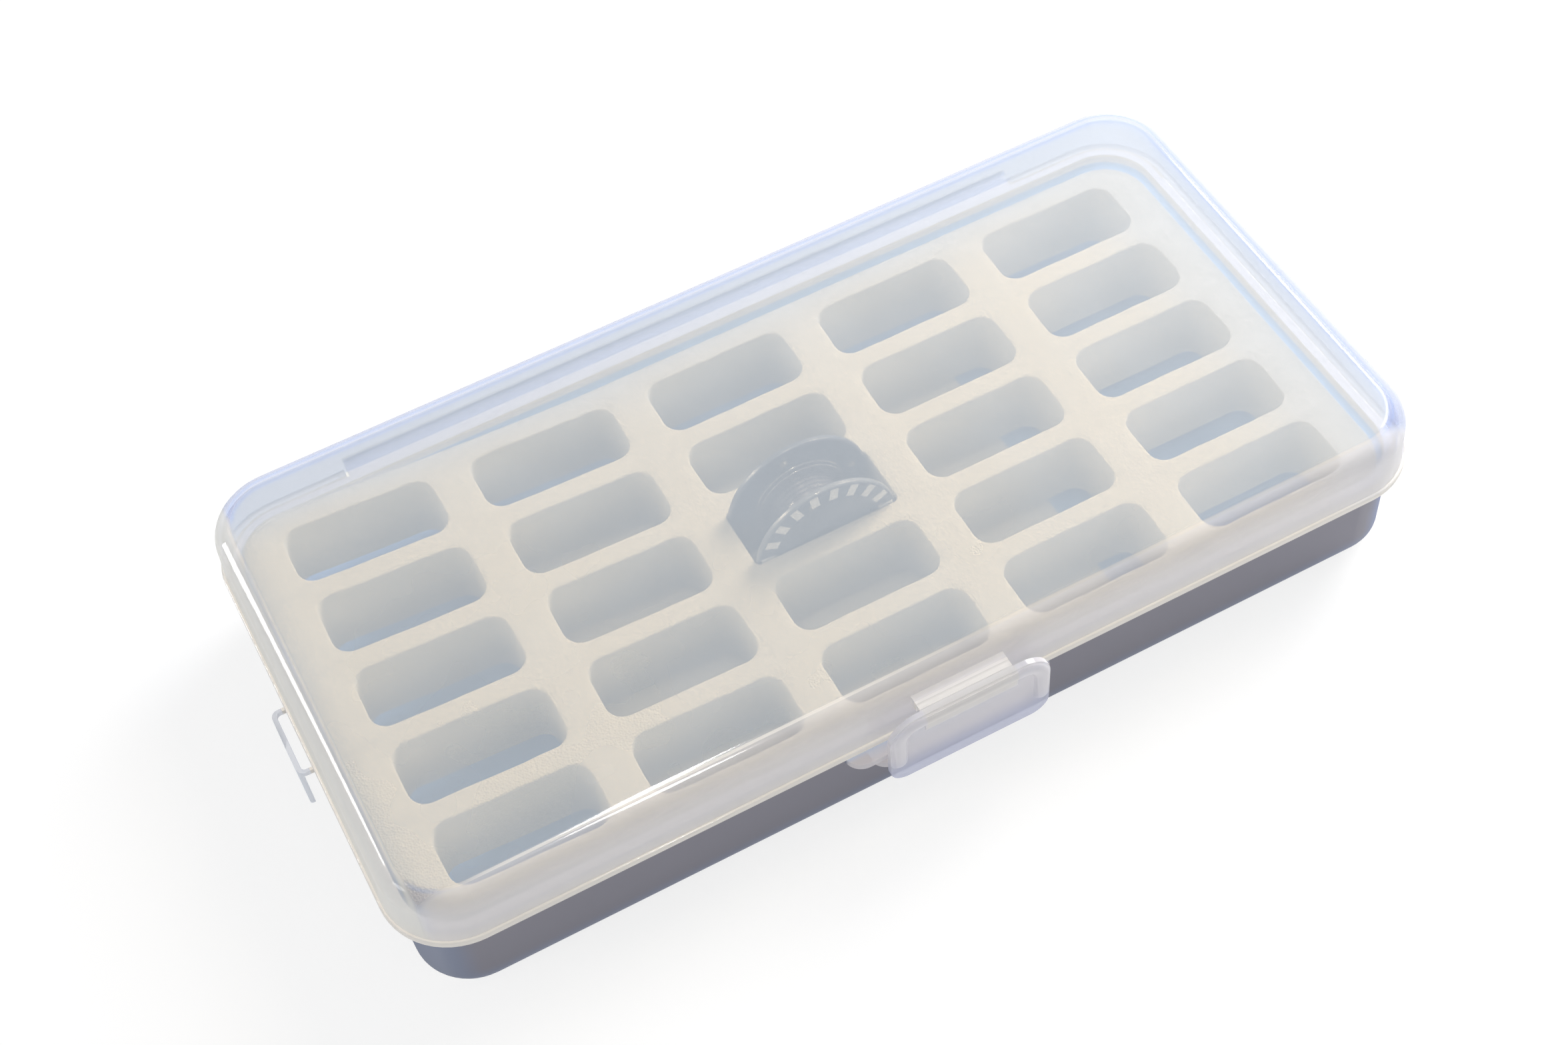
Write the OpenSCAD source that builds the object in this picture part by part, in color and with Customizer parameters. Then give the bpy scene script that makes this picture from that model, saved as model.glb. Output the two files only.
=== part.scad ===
// Flat hinged bobbin box: a tray and a lid joined by a living hinge, a front latch flap,
// a foam insert with rows of slots, and one bobbin standing in the middle slot.
// The origin is the centre of the tray's underside. +X runs along the long side, +Y to the
// hinge, +Z up. The lid and the latch are closed.

/* [Tray] */
// Length of the tray along its underside
tray_length = 174.8; // [168:0.2:190]
// Width of the tray along its underside
tray_width = 86.6; // [82:0.2:100]
// Height of the tray to the top of its rim
tray_height = 18.8; // [18:0.2:21]
// Corner radius of the tray in plan
tray_corner_r = 9.6; // [7:0.2:14]
// Thickness of the tray's walls
tray_wall = 1.2; // [0.9:0.1:1.6]
// Thickness of the tray's floor
floor_t = 1.2; // [0.9:0.1:2]
// Rounding along the underside
underside_r = 2.4; // [1:0.1:2.6]
// How far each wall leans out over its height
tray_draft = 0.3; // [0:0.05:0.6]
// How far the bead along the rim stands out
rim_reach = 0.5; // [0.2:0.05:0.8]
// Height of the bead along the rim
rim_height = 1.4; // [0.8:0.1:1.6]
// Distance from the end of the rim's bead to the start of the back corner
bead_stop = 3; // [2:0.5:20]

/* [Lid] */
// Gap between the rim's bead and the inside of the lid's skirt
lid_gap = 0.3; // [0.25:0.05:0.5]
// Thickness of the lid's skirt
lid_wall = 1.1; // [0.8:0.1:1.5]
// Thickness of the lid's top
lid_top_t = 1.0; // [0.8:0.1:1.5]
// How far the skirt reaches down past the top of the tray's rim
lid_overlap = 1.6; // [1:0.1:2]
// How far each side of the lid leans in over its height
lid_draft = 0.45; // [0:0.05:0.8]
// Rounding along the top of the lid
lid_edge_r = 3.5; // [2:0.1:5]
// How far the bead along the skirt's lower edge stands out
skirt_bead_reach = 0.4; // [0.2:0.05:0.8]
// Height of the bead along the skirt's lower edge
skirt_bead_h = 1.2; // [0.8:0.1:2]
// Room between the bobbin's top and the inside of the lid
headroom = 0.5; // [0.4:0.1:3]

/* [Back hinge] */
// Length of the living hinge
hinge_length = 128; // [80:1:140]
// How far the hinge's two lands stand out behind the lid
land_reach = 0.9; // [0.6:0.1:2]
// Thickness of each land
land_t = 0.8; // [0.6:0.1:1.2]
// Gap between the closed lands
land_gap = 0.4; // [0.3:0.05:0.8]
// Thickness of the hinge's web
web_t = 0.45; // [0.3:0.05:0.6]

/* [Latch] */
// Width of the latch flap
flap_width = 28; // [22:0.2:36]
// How far the latch flap reaches below the lower catch shelf
flap_reach = 1.7; // [1.4:0.1:3]
// Thickness of the flap's plate
flap_t = 0.9; // [0.8:0.1:1.4]
// Distance of the flap's middle from the middle of the box
flap_offset = 1.5; // [-6:0.5:6]
// Lean of the flap towards the tray, in degrees
flap_lean = 2; // [0:0.5:3]
// Corner radius at the top of the flap
flap_top_r = 5; // [4:0.2:6]
// Corner radius at the bottom of the flap
flap_foot_r = 3.2; // [2:0.2:5]
// Height of the flap's plain foot, below the rib round its edge
flap_foot_h = 5; // [4:0.2:7]
// Width of the rib round the flap's edge
rib_width = 2.8; // [1.6:0.1:3]
// How far the rib stands out of the plate
rib_rise = 0.7; // [0.3:0.05:0.8]
// Width of the neck that carries the flap
neck_width = 16; // [10:0.5:18]
// Thickness of the latch's web
latch_web_t = 0.5; // [0.3:0.05:0.7]
// Length of the latch's web
latch_web_l = 1.2; // [0.8:0.1:1.6]
// How far the neck stands out of the flap's plate
neck_rise = 0.35; // [0.1:0.05:0.6]
// How far the neck's boss stands out of the lid
neck_boss = 1.2; // [1:0.1:2]
// Length of the upper catch shelf on the tray
shelf_length = 36; // [30:1:44]
// Length of the lower catch shelf on the tray
lower_shelf_length = 27.6; // [22:0.2:30]
// Drop from the upper catch shelf to the lower one
shelf_drop = 2.9; // [2.4:0.1:3.4]
// How far the shelves stand out of the lid's skirt line
shelf_reach = 1.7; // [1:0.1:2]
// Thickness of each shelf
shelf_t = 1.2; // [0.8:0.1:1.6]
// Corner radius of the shelves
shelf_r = 3; // [1:0.2:4]
// Gap between the latch's hook and the shelves that it passes
hook_gap = 0.3; // [0.25:0.05:0.5]

/* [Hang loop] */
// Width of the loop on the left side
loop_width = 13; // [10:0.5:20]
// Clear depth of the loop's window
loop_window = 1.6; // [1.4:0.1:5]
// Thickness of the loop's outer plate
loop_plate_t = 0.8; // [0.7:0.1:1.5]
// Height of the loop's outer plate
loop_plate_h = 9.8; // [5:0.1:12]
// Thickness of the loop's two arms
loop_arm_t = 0.6; // [0.5:0.1:1.2]

/* [Foam insert] */
// Gap between the foam and the tray's walls
foam_gap = 0.5; // [0.4:0.1:1.5]
// Height of the foam
foam_height = 15.1; // [12:0.1:16]
// Number of slots along the box
slot_columns = 5; // [1:1:5]
// Number of slots across the box
slot_rows = 5; // [1:1:5]
// Distance from slot to slot along the box
slot_pitch_x = 33; // [29:0.2:33]
// Distance from slot to slot across the box
slot_pitch_y = 15.7; // [13.4:0.1:16]
// Room between a bobbin and its slot, side to side
slot_room = 0.4; // [0.4:0.1:1]
// Corner radius of the slots
slot_r = 3; // [1:0.2:4]
// Corner radius of the slot that the bobbin has pressed square
held_slot_r = 0.8; // [0.5:0.1:1]

/* [Underside label] */
// Length of the blank label under the tray's floor
label_length = 90; // [40:1:150]
// Width of the blank label under the tray's floor
label_width = 60; // [30:1:75]
// Thickness of the label, which lies flush in a recess
label_t = 0.15; // [0.1:0.05:0.3]
// Gap between the label and the edge of its recess
label_gap = 0.5; // [0.3:0.1:1]
// Distance of the label's middle from the middle of the box, along X
label_x = -5; // [-10:0.5:10]
// Distance of the label's middle from the middle of the box, along Y
label_y = -6; // [-6:0.5:3]

/* [Bobbin] */
// Outer diameter of the bobbin
bobbin_d = 25.6; // [24:0.1:26]
// Width of the bobbin
bobbin_w = 11.4; // [9:0.1:11.4]
// Thickness of the bobbin's flanges
flange_t = 1.2; // [0.8:0.1:1.5]
// Rounding round the edge of each flange
flange_edge_r = 0.4; // [0.3:0.05:0.5]
// Diameter of the bobbin's core
core_d = 12.4; // [10:0.2:14]
// Diameter of the step beside each flange
step_d = 16; // [14:0.2:18]
// Width of the step beside each flange
step_w = 0.9; // [0.5:0.1:1.5]
// Diameter of the bobbin's bore
bore_d = 6.2; // [5:0.1:8]
// Number of thread holes in each flange
thread_holes = 4; // [2:1:8]
// Diameter of the thread holes
thread_hole_d = 1.4; // [1:0.1:2]
// Distance of the thread holes from the bobbin's axis
thread_hole_r = 10.3; // [9.4:0.1:11]
// Gap under the bobbin
bobbin_lift = 0.1; // [0.05:0.05:0.2]

/* [Hidden] */
$fn = 48;
CLEAR = 0.01;

// Half sizes of the tray at its underside and at its rim
tray_x = tray_length / 2;
tray_y = tray_width / 2;
rim_x = tray_x + tray_draft;
rim_y = tray_y + tray_draft;
rim_corner_r = tray_corner_r + tray_draft;

// Half sizes of the inside and the outside of the skirt's lower edge
skirt_in = rim_reach + lid_gap;
skirt_out = skirt_in + lid_wall;
skirt_x = rim_x + skirt_out;
skirt_y = rim_y + skirt_out;
skirt_corner_r = rim_corner_r + skirt_out;
bead_y = skirt_y + skirt_bead_reach;

// Heights
bobbin_z = floor_t + bobbin_lift + bobbin_d / 2;
lid_under_z = bobbin_z + bobbin_d / 2 + headroom;
lid_top_z = lid_under_z + lid_top_t;
skirt_z = tray_height - lid_overlap;
lid_h = lid_top_z - skirt_z;

// Back hinge: the lands meet the web at land_y, and the lid turns about the web's outer face
lid_land_z = tray_height + land_gap;
hinge_z = tray_height + land_gap / 2;
web_r = land_t + land_gap / 2;
land_y = skirt_y + land_reach;
hinge_y = land_y + web_r;
notch_room = 0.5;

// The rim's bead stops short of the back corners, where the lid's skirt swings past
bead_back_y = rim_y - rim_corner_r - bead_stop;

// Latch: the flap turns about the middle of its web
web_top_z = lid_top_z - lid_edge_r;
latch_z = web_top_z - latch_web_t / 2;
boss_y = -(skirt_y + neck_boss);
latch_y = boss_y - latch_web_l / 2;
boss_h = 2;
neck_h = 2.3;
web_seat = 0.02;
flap_in = latch_web_l / 2 + 0.6;
flap_out = flap_in + flap_t;
flap_top = 1.1;
rib_in = rib_width / 2 + 0.1;
rib_r = (rib_width * rib_width / 4 + rib_rise * rib_rise) / (2 * rib_rise);
band_h = 4;

// Catch shelves on the tray
shelf_y = -(skirt_y + shelf_reach);
shelf_top_z = skirt_z - 1.4;
lower_shelf_top_z = shelf_top_z - shelf_drop;
lug_length = 18;
lug_y = shelf_y + 0.4;
lug_top_z = skirt_z - 0.4;
hook_h = 0.7;
hook_top_z = lower_shelf_top_z - shelf_t - hook_gap;
flap_foot = lower_shelf_top_z - shelf_t - flap_reach - latch_z;
flap_h = flap_top - flap_foot;

// Loop
loop_x = -(skirt_x + skirt_bead_reach);
loop_top_z = skirt_z + skirt_bead_h - 0.2;
loop_bar_h = 0.9;
loop_edge_r = 1.3;
loop_inner_r = 0.6;
loop_foot_r = 2;

// Foam and slots
foam_x = tray_x - tray_wall - foam_gap;
foam_y = tray_y - tray_wall - foam_gap;
foam_r = tray_corner_r - tray_wall - foam_gap;
slot_x = bobbin_d + slot_room;
slot_y = bobbin_w + slot_room;
held_column = floor(slot_columns / 2);
held_row = floor(slot_rows / 2);
bobbin_x = (held_column - (slot_columns - 1) / 2) * slot_pitch_x;
bobbin_y = (held_row - (slot_rows - 1) / 2) * slot_pitch_y;

PLASTIC = [0.86, 0.89, 0.94, 0.45];

// A rectangle with round corners, given by its half sizes
module round_rect(hx, hy, r) {
    square([2 * hx, 2 * (hy - r)], center = true);
    square([2 * (hx - r), 2 * hy], center = true);
    for (sx = [-1, 1], sy = [-1, 1])
        translate([sx * (hx - r), sy * (hy - r)])
            circle(r);
}

// Upright section of a block's edge, measured out from its corner's centre
module edge_section(r, h, lean, low_r, high_r) {
    polygon([
        [0, 0], [r - low_r, 0], [r, low_r],
        [r + lean, h - high_r], [r + lean - high_r, h], [0, h]
    ]);
    if (low_r > 0)
        translate([r - low_r, low_r])
            circle(low_r);
    if (high_r > 0)
        translate([r + lean - high_r, h - high_r])
            circle(high_r);
}

// A section run along one pair of sides of a block
module side_slab(half_across, half_along, r, h, lean, low_r, high_r) {
    rotate([90, 0, 0])
        linear_extrude(2 * (half_along - r), center = true) {
            translate([-(half_across - r), 0])
                square([2 * (half_across - r), h]);
            for (s = [0, 1])
                mirror([s, 0])
                    translate([half_across - r, 0])
                        edge_section(r, h, lean, low_r, high_r);
        }
}

// A block with round corners, leaning sides and rounded edges, standing on z = 0
module moulded_block(hx, hy, r, h, lean, low_r = 0, high_r = 0) {
    side_slab(hx, hy, r, h, lean, low_r, high_r);
    rotate([0, 0, 90])
        side_slab(hy, hx, r, h, lean, low_r, high_r);
    for (sx = [-1, 1], sy = [-1, 1])
        translate([sx * (hx - r), sy * (hy - r), 0])
            rotate_extrude()
                intersection() {
                    edge_section(r, h, lean, low_r, high_r);
                    square([r + abs(lean) + 1, h]);
                }
}

// A flat shelf whose outer corners are round, from y = 0 out to -reach
module shelf(length, reach, t, r) {
    linear_extrude(t)
        intersection() {
            round_rect(length / 2, reach, r);
            translate([-length / 2, -reach])
                square([length, reach]);
        }
}

module tray_walls() {
    difference() {
        union() {
            moulded_block(tray_x, tray_y, tray_corner_r, tray_height, tray_draft, underside_r);
            rim_bead();
            tray_land();
            catch_shelves();
        }
        translate([0, 0, floor_t])
            moulded_block(
                tray_x - tray_wall, tray_y - tray_wall, tray_corner_r - tray_wall,
                tray_height - floor_t + CLEAR, tray_draft, foam_gap
            );
        translate([label_x, label_y, -CLEAR])
            linear_extrude(label_t + CLEAR)
                square([label_length + 2 * label_gap, label_width + 2 * label_gap], center = true);
    }
}

// The bead runs along the front and both ends of the rim
module rim_bead() {
    translate([0, 0, tray_height - rim_height])
        intersection() {
            moulded_block(
                rim_x + rim_reach, rim_y + rim_reach, rim_corner_r + rim_reach,
                rim_height, 0, 0.3, 0.3
            );
            translate([-tray_length, -tray_width, 0])
                cube([2 * tray_length, tray_width + bead_back_y, rim_height]);
        }
}

module tray_land() {
    translate([-hinge_length / 2, rim_y - tray_wall / 2, tray_height - land_t])
        cube([hinge_length, land_y - rim_y + tray_wall / 2, land_t]);
}

module catch_shelves() {
    root_y = -(tray_y - tray_wall / 2);
    reach = root_y - shelf_y;
    translate([0, root_y, shelf_top_z - shelf_t])
        shelf(shelf_length, reach, shelf_t, shelf_r);
    translate([0, root_y, lower_shelf_top_z - shelf_t])
        shelf(lower_shelf_length, reach, shelf_t, shelf_r);
    translate([flap_offset - lug_length / 2, lug_y, lower_shelf_top_z - shelf_t / 2])
        cube([lug_length, root_y - lug_y, lug_top_z - lower_shelf_top_z + shelf_t / 2]);
}

module tray() {
    color(PLASTIC)
        tray_walls();
}

module lid_walls() {
    difference() {
        union() {
            moulded_block(skirt_x, skirt_y, skirt_corner_r, lid_h, -lid_draft, 0, lid_edge_r);
            moulded_block(
                skirt_x + skirt_bead_reach, bead_y, skirt_corner_r + skirt_bead_reach,
                skirt_bead_h, 0, 0.3, 0.3
            );
        }
        translate([0, 0, -CLEAR])
            moulded_block(
                skirt_x - lid_wall, skirt_y - lid_wall, skirt_corner_r - lid_wall,
                lid_h - lid_top_t + CLEAR, -lid_draft, 0, lid_edge_r - lid_wall
            );
        translate([-hinge_length / 2 - notch_room, skirt_y - lid_wall - 1, -1])
            cube([hinge_length + 2 * notch_room, lid_wall + 2 + skirt_bead_reach, lid_land_z - skirt_z + 1]);
    }
}

module lid_land() {
    translate([-hinge_length / 2, skirt_y - lid_wall, lid_land_z])
        cube([hinge_length, land_y - skirt_y + lid_wall, land_t]);
}

module neck_boss_block() {
    translate([flap_offset - neck_width / 2, boss_y, web_top_z - boss_h])
        cube([neck_width, neck_boss + lid_wall, boss_h]);
}

// The loop seen from above: two arms out to a plate, with round corners
module loop_plan(depth) {
    intersection() {
        difference() {
            round_rect(depth, loop_width / 2, loop_edge_r);
            round_rect(loop_window, loop_width / 2 - loop_arm_t, loop_inner_r);
        }
        translate([-depth, -loop_width])
            square([depth + skirt_bead_reach, 2 * loop_width]);
    }
}

// The loop's plate seen from the end: a tab with a round foot
module loop_tab() {
    translate([loop_plate_h / 2, 0])
        round_rect(loop_plate_h / 2, loop_width / 2, loop_foot_r);
    translate([0, -loop_width / 2])
        square([loop_plate_h / 2, loop_width]);
}

module hang_loop() {
    depth = loop_window + loop_plate_t;
    translate([loop_x, 0, loop_top_z - loop_bar_h])
        linear_extrude(loop_bar_h)
            loop_plan(depth);
    intersection() {
        translate([loop_x, 0, loop_top_z - loop_plate_h])
            linear_extrude(loop_plate_h)
                intersection() {
                    round_rect(depth, loop_width / 2, loop_edge_r);
                    translate([-depth, -loop_width / 2])
                        square([loop_plate_t, loop_width]);
                }
        translate([loop_x - depth, 0, loop_top_z])
            rotate([0, 90, 0])
                linear_extrude(depth)
                    loop_tab();
    }
}

module lid() {
    color(PLASTIC) {
        translate([0, 0, skirt_z])
            lid_walls();
        lid_land();
        neck_boss_block();
        hang_loop();
    }
}

module hinge_web() {
    color(PLASTIC)
        translate([0, land_y, hinge_z])
            rotate([90, 0, 90])
                linear_extrude(hinge_length, center = true)
                    intersection() {
                        difference() {
                            circle(web_r);
                            circle(web_r - web_t);
                        }
                        translate([0, -web_r])
                            square([web_r, 2 * web_r]);
                    }
}

// The flap is drawn about its hinge line, hanging straight down, and then leaned
module flap_outline() {
    h = flap_h / 2;
    w = flap_width / 2;
    translate([0, flap_foot + h]) {
        intersection() {
            round_rect(w, h, flap_top_r);
            translate([-w, 0])
                square([2 * w, h]);
        }
        intersection() {
            round_rect(w, h, flap_foot_r);
            translate([-w, -h])
                square([2 * w, h]);
        }
    }
}

// Section of the rib: a low arch that stands on y = 0
module rib_section() {
    intersection() {
        translate([0, rib_rise - rib_r])
            circle(rib_r, $fn = 96);
        translate([-rib_width, 0])
            square([2 * rib_width, rib_width]);
    }
    translate([-rib_width / 2, -0.3])
        square([rib_width, 0.3]);
}

// The rib runs up one side of the flap, along its top and down the other side
module edge_rib() {
    side_x = flap_width / 2 - rib_in;
    turn_x = flap_width / 2 - flap_top_r;
    turn_h = flap_top - flap_top_r;
    low_h = flap_foot + flap_foot_h;
    for (side = [-1, 1]) {
        translate([side * side_x, turn_h, 0])
            rotate([90, 0, 0])
                linear_extrude(turn_h - low_h)
                    rib_section();
        translate([side * turn_x, turn_h, 0])
            rotate([0, 0, side > 0 ? 0 : 90])
                rotate_extrude(angle = 90)
                    translate([flap_top_r - rib_in, 0])
                        rib_section();
    }
    translate([-turn_x, flap_top - rib_in, 0])
        rotate([90, 0, 90])
            linear_extrude(2 * turn_x)
                rib_section();
}

module latch_flap() {
    color(PLASTIC)
        translate([flap_offset, latch_y, latch_z])
            rotate([flap_lean, 0, 0]) {
                translate([0, -flap_in, 0])
                    rotate([90, 0, 0])
                        linear_extrude(flap_t)
                            flap_outline();
                translate([0, -flap_out, 0])
                    rotate([90, 0, 0])
                        edge_rib();
                translate([-neck_width / 2, -flap_out - neck_rise, flap_top - band_h])
                    cube([neck_width, flap_t, band_h - neck_rise]);
                neck_block();
                flap_hook();
            }
}

// The block behind the flap that meets the web
module neck_block() {
    front = latch_web_l / 2 + web_seat;
    translate([-neck_width / 2, -flap_in - flap_t / 2, latch_web_t / 2 - neck_h])
        cube([neck_width, flap_in + flap_t / 2 - front, neck_h]);
}

// The hook hangs just under the lower shelf and clears its edge as the lid lifts
module flap_hook() {
    depth = latch_z - hook_top_z + hook_h;
    reach = flap_in + shelf_y - hook_gap - latch_y - depth * sin(flap_lean);
    translate([-lug_length / 2, -flap_in - flap_t / 2, -depth])
        cube([lug_length, reach + flap_t / 2, hook_h]);
}

module latch_web() {
    color(PLASTIC)
        translate([flap_offset - neck_width / 2, boss_y - latch_web_l, web_top_z - latch_web_t])
            cube([neck_width, latch_web_l, latch_web_t]);
}

module slots() {
    for (i = [0:slot_columns - 1], j = [0:slot_rows - 1]) {
        column = i - (slot_columns - 1) / 2;
        row = j - (slot_rows - 1) / 2;
        held = i == held_column && j == held_row;
        translate([column * slot_pitch_x, row * slot_pitch_y])
            round_rect(slot_x / 2, slot_y / 2, held ? held_slot_r : slot_r);
    }
}

module foam_insert() {
    color([0.93, 0.92, 0.88])
        translate([0, 0, floor_t])
            linear_extrude(foam_height)
                difference() {
                    round_rect(foam_x, foam_y, foam_r);
                    slots();
                }
}

module underside_label() {
    color([0.95, 0.93, 0.86])
        translate([label_x, label_y, 0])
            linear_extrude(label_t)
                square([label_length, label_width], center = true);
}

// Half of the bobbin's section, with the axis upright and one flange's face on z = 0
module bobbin_half() {
    r = bobbin_d / 2;
    e = flange_edge_r;
    polygon([
        [bore_d / 2, 0], [r - e, 0], [r, e], [r, flange_t - e], [r - e, flange_t],
        [step_d / 2, flange_t], [core_d / 2, flange_t + step_w],
        [core_d / 2, bobbin_w / 2], [bore_d / 2, bobbin_w / 2]
    ]);
    for (z = [e, flange_t - e])
        translate([r - e, z])
            circle(e);
}

module bobbin() {
    color([0.16, 0.19, 0.26])
        translate([bobbin_x, bobbin_y, bobbin_z])
            rotate([90, 0, 0])
                difference() {
                    for (s = [0, 1])
                        mirror([0, 0, s])
                            translate([0, 0, -bobbin_w / 2])
                                rotate_extrude($fn = 96)
                                    bobbin_half();
                    for (i = [0:thread_holes - 1])
                        rotate([0, 0, 12 + i * 360 / thread_holes])
                            translate([thread_hole_r, 0, 0])
                                cylinder(d = thread_hole_d, h = 2 * bobbin_w, center = true);
                }
}

tray();
lid();
hinge_web();
latch_flap();
latch_web();
foam_insert();
underside_label();
bobbin();
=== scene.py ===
"""Dresses the bobbin box: frosted plastic, cut foam, living hinges, the bobbin and the stage."""

import math

import bmesh
import bpy
from mathutils import Matrix, Vector, noise


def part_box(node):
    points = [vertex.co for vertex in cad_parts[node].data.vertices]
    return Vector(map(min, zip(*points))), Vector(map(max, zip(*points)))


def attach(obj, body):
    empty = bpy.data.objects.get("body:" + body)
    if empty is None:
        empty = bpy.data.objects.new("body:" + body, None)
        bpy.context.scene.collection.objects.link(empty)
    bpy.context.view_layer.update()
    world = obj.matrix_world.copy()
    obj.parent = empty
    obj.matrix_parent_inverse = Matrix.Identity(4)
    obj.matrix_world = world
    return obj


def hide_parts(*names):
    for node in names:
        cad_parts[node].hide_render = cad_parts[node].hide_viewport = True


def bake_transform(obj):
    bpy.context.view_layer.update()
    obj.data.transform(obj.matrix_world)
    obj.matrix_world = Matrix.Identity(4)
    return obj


bl_info = {
    "name": "Bobbin Box",
    "version": (1, 0, 0),
    "blender": (4, 5, 0),
    "location": "3D View > Sidebar > Bobbin Box",
    "description": "Builds the foam, hinges, bobbin marks and finishes of a hinged bobbin box",
    "category": "Object",
}

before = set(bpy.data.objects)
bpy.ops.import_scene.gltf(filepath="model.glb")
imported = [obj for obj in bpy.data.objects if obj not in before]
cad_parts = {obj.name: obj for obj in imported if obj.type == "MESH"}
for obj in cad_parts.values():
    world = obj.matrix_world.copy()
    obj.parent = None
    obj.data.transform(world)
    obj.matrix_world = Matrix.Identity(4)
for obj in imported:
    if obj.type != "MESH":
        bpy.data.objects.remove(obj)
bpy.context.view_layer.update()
LID_LOW, LID_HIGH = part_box("lid")
TRAY_LOW, TRAY_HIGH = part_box("tray")
FLAP_LOW, FLAP_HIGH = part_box("latch_flap")
LABEL_LOW, LABEL_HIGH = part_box("underside_label")
MM = 0.001


def span(place, low, high):
    """The range from one distance to another from a place, both in millimetres."""
    return place + low * MM, place + high * MM


# Properties ------------------------------


def length(name, description, default):
    """A length in millimetres on the sidebar, kept in metres."""
    return bpy.props.FloatProperty(
        name=name, description=description, default=default * MM, min=0.0,
        precision=5, subtype="DISTANCE", unit="LENGTH",
    )


def colour(name, description, default):
    """A plain colour on the sidebar."""
    return bpy.props.FloatVectorProperty(
        name=name, description=description, default=default, size=3,
        min=0.0, max=1.0, subtype="COLOR",
    )


def share(name, description, default):
    """A share from 0 to 1 on the sidebar."""
    return bpy.props.FloatProperty(
        name=name, description=description, default=default, min=0.0, max=1.0, subtype="FACTOR",
    )


class BobbinBoxLid(bpy.types.PropertyGroup):
    """Looks of the lid.

    A colour is that of the milky plastic, a tint is what light takes on that goes through it,
    and a haze says how milky it is. The lid is all one plastic, so where its top, front, left,
    back and right walls and their bend differ in colour and tint, that is partly painted light:
    cool blue at the back and right for cool light from behind, paler and warmer front, left and
    top for warm light from the front, and a lavender bend that is a painted reflection.
    """

    # The top, side, shoulder, front and left colours and tints are partly painted light: cool blue
    # for light from behind, paler and warmer for light from the front, lavender on the bend for a
    # painted reflection.
    top_colour: colour("Top", "Flat top of the lid", (0.74, 0.84, 0.98))
    side_colour: colour("Sides", "Back and right walls", (0.64, 0.74, 0.99))
    shoulder_colour: colour("Shoulder", "Bend above the back and right walls", (0.88, 0.90, 0.97))
    front_colour: colour("Front", "Front wall", (0.94, 0.925, 0.94))
    left_colour: colour("Left", "Left wall", (1.0, 1.0, 0.96))
    # Painted highlight: the bead's bright cream line and the line round the top stand in for
    # highlights along those edges; the bead is also milkier plastic.
    edge_highlight_colour: colour("Edge", "Bead along the skirt and line round the top", (1.0, 0.96, 0.90))
    neck_colour: colour("Neck", "Plastic where the latch hangs from the lid", (0.97, 0.94, 0.90))
    loop_colour: colour("Loop", "Hang loop", (0.85, 0.90, 1.0))
    top_tint: colour("Top tint", "Light through the top", (1.0, 0.96, 0.89))
    side_tint: colour("Side tint", "Light through the back and right walls", (0.84, 0.885, 1.0))
    shoulder_tint: colour("Shoulder tint", "Light through their bend", (0.86, 0.875, 0.95))
    front_tint: colour("Front tint", "Light through the front and left walls", (0.96, 0.96, 0.97))
    top_haze: share("Top haze", "How milky the flat top is", 0.235)
    side_haze: share("Side haze", "How milky the back and right walls are", 0.13)
    front_haze: share("Front haze", "How milky the front wall is", 0.38)
    left_share: share("Left share", "Haze of the left wall as a share of the front's", 0.85)
    side_bead_haze: share("Side bead haze", "How milky the bead is at the back and right", 0.5)
    bead_haze: share("Bead haze", "How milky the bead is at the front and left", 0.80)
    neck_haze: share("Neck haze", "How milky the neck is", 0.5)
    loop_haze: share("Loop haze", "How milky the hang loop is", 0.35)
    hinge_haze: share("Hinge haze", "How milky the living hinges are", 0.35)
    side_shine: share("Side shine", "Shine of the back and right walls", 0.05)


class BobbinBoxTray(bpy.types.PropertyGroup):
    """Looks of the tray."""

    # Painted shade: the outside is dark because the front lies in shade under the lid, bluer at the
    # foot where the shaded blue ground shows through, and painted darker at the left end and
    # lighter at the right end as the light falls off.
    outside: colour("Outside", "Outside of the walls", (0.27, 0.265, 0.32))
    left_end: colour("Left end", "Outside of the left corners", (0.22, 0.26, 0.38))
    right_end: colour("Right end", "Outside of the right corners", (0.30, 0.35, 0.54))
    foot: colour("Foot", "Outside near the underside", (0.27, 0.31, 0.45))
    inside: colour("Inside", "Inside of the walls", (0.42, 0.64, 1.0))
    floor: colour("Floor", "Floor, as seen in the slots", (0.26, 0.47, 0.90))
    # Painted light: the floor over the label takes a copy of the paper, paler than the paper
    # itself, standing in for light that reaches the label from below.
    lit_label_floor: colour("Floor over the label", "Floor with the label under it", (1.0, 0.98, 0.93))
    rim: colour("Rim", "Rim under the lid", (0.90, 0.88, 0.92))
    # Painted highlight: a white, fully milky line along the tray's thick inner top edge, partly the
    # edge's own milkiness.
    inner_edge_highlight: colour("Inner edge", "Top edge of the inner wall", (1.0, 0.98, 0.95))
    shelf: colour("Catch shelves", "Shelves that the latch hooks on", (0.80, 0.77, 0.81))
    outside_haze: share("Outside haze", "How milky the outside is", 0.92)
    inside_haze: share("Inside haze", "How milky the inside is", 0.70)
    floor_haze: share("Floor haze", "How milky the floor is", 0.85)
    rim_haze: share("Rim haze", "How milky the rim is", 0.80)
    shelf_haze: share("Shelf haze", "How milky the catch shelves are", 0.45)


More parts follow.
